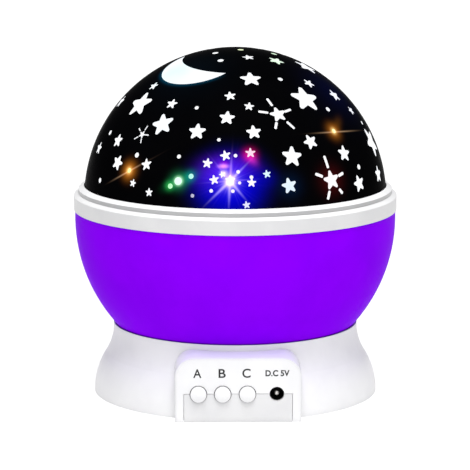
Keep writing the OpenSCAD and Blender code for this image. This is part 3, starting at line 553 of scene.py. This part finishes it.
def crescent_outline():
    """Outer arc of one circle, inner arc of a second that bites into it."""
    r1, dx, dy, r2 = 16.0, -15.6, 5.1, 21.5
    d = math.hypot(dx, dy)
    base = math.atan2(dy, dx)
    a = (r1 * r1 - r2 * r2 + d * d) / (2 * d)
    h = math.acos(a / r1)
    k = math.acos((d - a) / r2)
    outer = [(r1 * math.cos(t), r1 * math.sin(t)) for t in np.linspace(base + h, base + 2 * math.pi - h, 60)]
    inner = [(dx + r2 * math.cos(t), dy + r2 * math.sin(t)) for t in np.linspace(base + math.pi + k, base + math.pi - k, 44)]
    return outer + inner[1:-1]


def windows():
    for az, el, r, roll in FRONT_STARS:
        yield az, el, star_outline(r, roll)
    for az, el, r, roll, rays in RAY_STARS:
        yield az, el, star_outline(r, roll)
        for t in rays:
            yield az, el, ray_outline(t[0], t[1], t[2], 0.3 * r)
    for az, el, r in FRONT_DOTS:
        yield az, el, round_outline(r)
    yield -43, 70, crescent_outline()
    for row in range(6):
        n = BACK_COUNT - row
        for k in range(n):
            az = 93 + (k + 0.5 + 0.22 * math.sin(math.radians(97 * k + 61 * row))) * 174 / n
            el = 13 + 11.5 * row + 3 * math.sin(math.radians(143 * k + 71 * row))
            q = (k * 3 + row * 2) % 5
            if q == 4:
                yield az, el, round_outline(0.9)
            else:
                yield az, el, star_outline([4.6, 2.2, 3.4, 1.7][q], 25 * math.sin(math.radians(211 * k + 37 * row)))
    for k in range(3):
        yield 120 + 60 * k, 80, star_outline(1.8, 20 * k)


def inside(points, poly):
    """Even-odd test of many points against one outline."""
    x, y = points[:, 0], points[:, 1]
    px, py = poly[:, 0], poly[:, 1]
    qx, qy = np.roll(px, -1), np.roll(py, -1)
    hit = np.zeros(len(x), bool)
    for a, b, c, d in zip(px, py, qx, qy):
        if b == d:
            continue
        cross = (b > y) != (d > y)
        hit ^= cross & (x < (c - a) * (y - b) / (d - b) + a)
    return hit


def star_skin():
    """A fine closed shell with every window cut through it, laid out flat from the pole and folded onto the dome."""
    R = DOME_R
    low = math.acos((SEAT_Z - DOME_CZ) / R) * R
    loops = []
    for az, el, outline in windows():
        n, down, right = dome_axes(az, el)
        flat = []
        for i, (u, v) in enumerate(outline):
            u2, v2 = outline[(i + 1) % len(outline)]
            steps = max(1, int(math.hypot(u2 - u, v2 - v) / 0.8))
            for s in range(steps):
                a, b = u + (u2 - u) * s / steps, v + (v2 - v) * s / steps
                p = down * a + right * b + n * math.sqrt(R * R - a * a - b * b)
                rho = math.acos(max(-1, min(1, p.z / R))) * R
                phi = math.atan2(p.y, p.x)
                flat.append((rho * math.cos(phi), rho * math.sin(phi)))
        loops.append(np.array(flat))
    rim = np.array([(low * math.cos(2 * math.pi * i / 300), low * math.sin(2 * math.pi * i / 300)) for i in range(300)])
    step = 1.35
    grid = [(0.0, 0.0)]
    rho = step
    while rho < low - 0.6:
        n = max(6, int(2 * math.pi * R * math.sin(rho / R) / step))
        grid += [(rho * math.cos(2 * math.pi * (i + 0.5 * (len(grid) % 2)) / n), rho * math.sin(2 * math.pi * (i + 0.5 * (len(grid) % 2)) / n)) for i in range(n)]
        rho += step
    grid = np.array(grid)
    # no grid point close to an outline, so triangles stay well shaped
    keep = np.ones(len(grid), bool)
    for lp in loops + [rim]:
        lo, hi = lp.min(0) - 0.5, lp.max(0) + 0.5
        idx = np.where(keep & (grid[:, 0] > lo[0]) & (grid[:, 0] < hi[0]) & (grid[:, 1] > lo[1]) & (grid[:, 1] < hi[1]))[0]
        if len(idx):
            d = np.sqrt(((grid[idx, None, :] - lp[None, :, :]) ** 2).sum(2)).min(1)
            keep[idx[d < 0.42]] = False
    grid = grid[keep]
    verts, edges = [], []
    for lp in [rim] + loops:
        s = len(verts)
        verts += [Vector(p) for p in lp]
        edges += [(s + i, s + (i + 1) % len(lp)) for i in range(len(lp))]
    verts += [Vector(p) for p in grid]
    got = delaunay_2d_cdt(verts, edges, [], 0, 1e-5, False)
    flat = np.array([tuple(p) for p in got[0]])
    tris = np.array([t for t in got[2] if len(t) == 3])
    mid = flat[tris].mean(1)
    cut = np.zeros(len(tris), bool)
    for lp in loops:
        lo, hi = lp.min(0), lp.max(0)
        idx = np.where((mid[:, 0] > lo[0]) & (mid[:, 0] < hi[0]) & (mid[:, 1] > lo[1]) & (mid[:, 1] < hi[1]))[0]
        if len(idx):
            cut[idx] |= inside(mid[idx], lp)
    a, b, c = flat[tris[:, 0]], flat[tris[:, 1]], flat[tris[:, 2]]
    area = (b[:, 0] - a[:, 0]) * (c[:, 1] - a[:, 1]) - (b[:, 1] - a[:, 1]) * (c[:, 0] - a[:, 0])
    tris = tris[~cut & (np.abs(area) > 1e-9)]
    area = area[~cut & (np.abs(area) > 1e-9)]
    tris[area < 0] = tris[area < 0][:, ::-1]
    used = np.unique(tris)
    new = -np.ones(len(flat), int)
    new[used] = np.arange(len(used))
    tris, flat = new[tris], flat[used]
    rho = np.hypot(flat[:, 0], flat[:, 1])
    phi = np.arctan2(flat[:, 1], flat[:, 0])
    d = np.stack([np.sin(rho / R) * np.cos(phi), np.sin(rho / R) * np.sin(phi), np.cos(rho / R)], 1)
    n = len(d)
    centre = np.array([0, 0, DOME_CZ])
    co = np.concatenate([centre + d * R, centre + d * (R - MASK_T)]) * MM
    seen = {}
    for t in tris:
        for i in range(3):
            seen[(t[i], t[(i + 1) % 3])] = True
    walls = [(p, q) for (p, q) in seen if (q, p) not in seen]
    faces = [tuple(int(x) for x in t) for t in tris] + [tuple(int(x) + n for x in t[::-1]) for t in tris]
    faces += [(int(q), int(p), int(p) + n, int(q) + n) for p, q in walls]
    mesh = bpy.data.meshes.new("star_skin")
    mesh.from_pydata([tuple(p) for p in co], [], faces)
    mesh.validate(verbose=False)
    mesh.polygons.foreach_set("use_smooth", [True] * len(mesh.polygons))
    # the window walls get the glowing dome material: painted light standing in for the dome's light on the film's cut
    # edges
    first = 2 * len(tris)
    for f in mesh.polygons:
        if f.index >= first and min(co[v][2] for v in f.vertices) > (SEAT_Z + 0.3) * MM:
            f.material_index = 1
    both = np.concatenate([d, -d])
    normals = []
    k = len(tris)
    for f in mesh.polygons:
        if f.index < 2 * k:
            normals += [tuple(both[v]) for v in f.vertices]
        else:
            normals += [tuple(f.normal)] * len(f.vertices)
    mesh.normals_split_custom_set(normals)
    o = bpy.data.objects.new("star_skin", mesh)
    SCENE.collection.objects.link(o)
    mesh.materials.append(M["black_skin"])
    mesh.materials.append(M["milky_dome"])
    return o


skin = star_skin()
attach(skin, "dome")
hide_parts("star_mask")


# ------------------------------------------------------------------ printed labels on the panel
ink = Graph("label_ink")
ink_noise = ink.noise(1800.0, 3.0, 0.6)
ink.set(Base_Color=ink.mix(ink.span(ink_noise, 0.35, 0.7), (0.004, 0.004, 0.005), (0.010, 0.010, 0.012)),
        Roughness=ink.span(ink_noise, 0.3, 0.7, 0.45, 0.6), Normal=ink.bump(ink_noise, 0.1, 0.00003))


def label(name, text, x, z, cap, width=None, bold=0.03):
    """Printed lettering, cap millimetres high, centred at x with its foot at z."""
    curve = bpy.data.curves.new(name, "FONT")
    curve.body = text
    curve.size = 1.0
    curve.align_x = "CENTER"
    curve.resolution_u = 8
    curve.offset = bold
    tmp = bpy.data.objects.new(name + "_tmp", curve)
    SCENE.collection.objects.link(tmp)
    bpy.context.view_layer.update()
    mesh = bpy.data.meshes.new_from_object(tmp.evaluated_get(bpy.context.evaluated_depsgraph_get()))
    bpy.data.objects.remove(tmp)
    co = np.array([tuple(v.co) for v in mesh.vertices])
    lo, hi = co.min(0), co.max(0)
    k = cap / (hi[1] - lo[1])
    kx = k if width is None else width / (hi[0] - lo[0])
    mid = (lo[0] + hi[0]) / 2
    # a thin raised print: front and back outlines joined into a closed slab
    n = len(co)
    face_y, t = -59.0, 0.035
    pts = [((p[0] - mid) * kx + x, face_y - t, (p[1] - lo[1]) * k + z) for p in co]
    pts += [(p[0], face_y + 0.02, p[2]) for p in pts]
    front = [tuple(f.vertices) for f in mesh.polygons]
    count = {}
    for f in front:
        for i in range(len(f)):
            count[(f[i], f[(i + 1) % len(f)])] = True
    side = [(b, a, a + n, b + n) for (a, b) in count if (b, a) not in count]
    faces = front + [tuple(v + n for v in reversed(f)) for f in front] + side
    made = bpy.data.meshes.new(name)
    made.from_pydata([tuple(c * MM for c in p) for p in pts], [], faces)
    made.validate(verbose=False)
    made.materials.append(ink.mat)
    bpy.data.meshes.remove(mesh)
    o = bpy.data.objects.new(name, made)
    SCENE.collection.objects.link(o)
    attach(o, "base")
    return o


label("label_a", "A", -15.8, 17.6, 3.5, 3.15, 0.014)
label("label_b", "B", -6.2, 17.6, 3.5, 2.75, 0.014)
label("label_c", "C", 3.2, 17.6, 3.6, 3.2, 0.014)
label("label_dc", "D.C 5V", 15.2, 18.15, 2.45, 9.3, 0.03)


# ------------------------------------------------------------------ stage and light
floor_g = Graph("floor")
fn = floor_g.noise(3.0, 4.0, 0.5)
floor_g.set(Base_Color=floor_g.mix(floor_g.span(fn, 0.3, 0.7), (0.17, 0.17, 0.17), (0.19, 0.19, 0.19)), Roughness=floor_g.span(fn, 0.3, 0.7, 0.85, 0.95))
floor_g.bsdf.inputs["Specular IOR Level"].default_value = 0.0
floor_g.bsdf.inputs["Emission Color"].default_value = (1, 1, 1, 1)
floor_g.bsdf.inputs["Emission Strength"].default_value = 0.92
fm = bpy.data.meshes.new("floor")
fm.from_pydata([(-12, -12, -0.0001), (12, -12, -0.0001), (12, 12, -0.0001), (-12, 12, -0.0001)], [], [(0, 1, 2, 3)])
fm.materials.append(floor_g.mat)
floor = bpy.data.objects.new("floor", fm)
SCENE.collection.objects.link(floor)

world = bpy.data.worlds.new("world")
world.use_nodes = True
world.node_tree.nodes["Background"].inputs[0].default_value = (1, 1, 1, 1)
world.node_tree.nodes["Background"].inputs[1].default_value = 0.34
SCENE.world = world


def far_light(name, az, el, share, spread):
    """Soft light from far away. share is what it adds to a white surface that faces it, spread its width in degrees."""
    d = bpy.data.lights.new(name, "SUN")
    d.energy, d.angle = share * math.pi, math.radians(spread)
    o = bpy.data.objects.new(name, d)
    SCENE.collection.objects.link(o)
    a, e = math.radians(az), math.radians(el)
    o.rotation_euler = Vector((-math.sin(a) * math.cos(e), math.cos(a) * math.cos(e), -math.sin(e))).to_track_quat("-Z", "Y").to_euler()
    return o


far_light("key", 5, 42, 0.37, 36)
far_light("top", 0, 74, 0.74, 34)
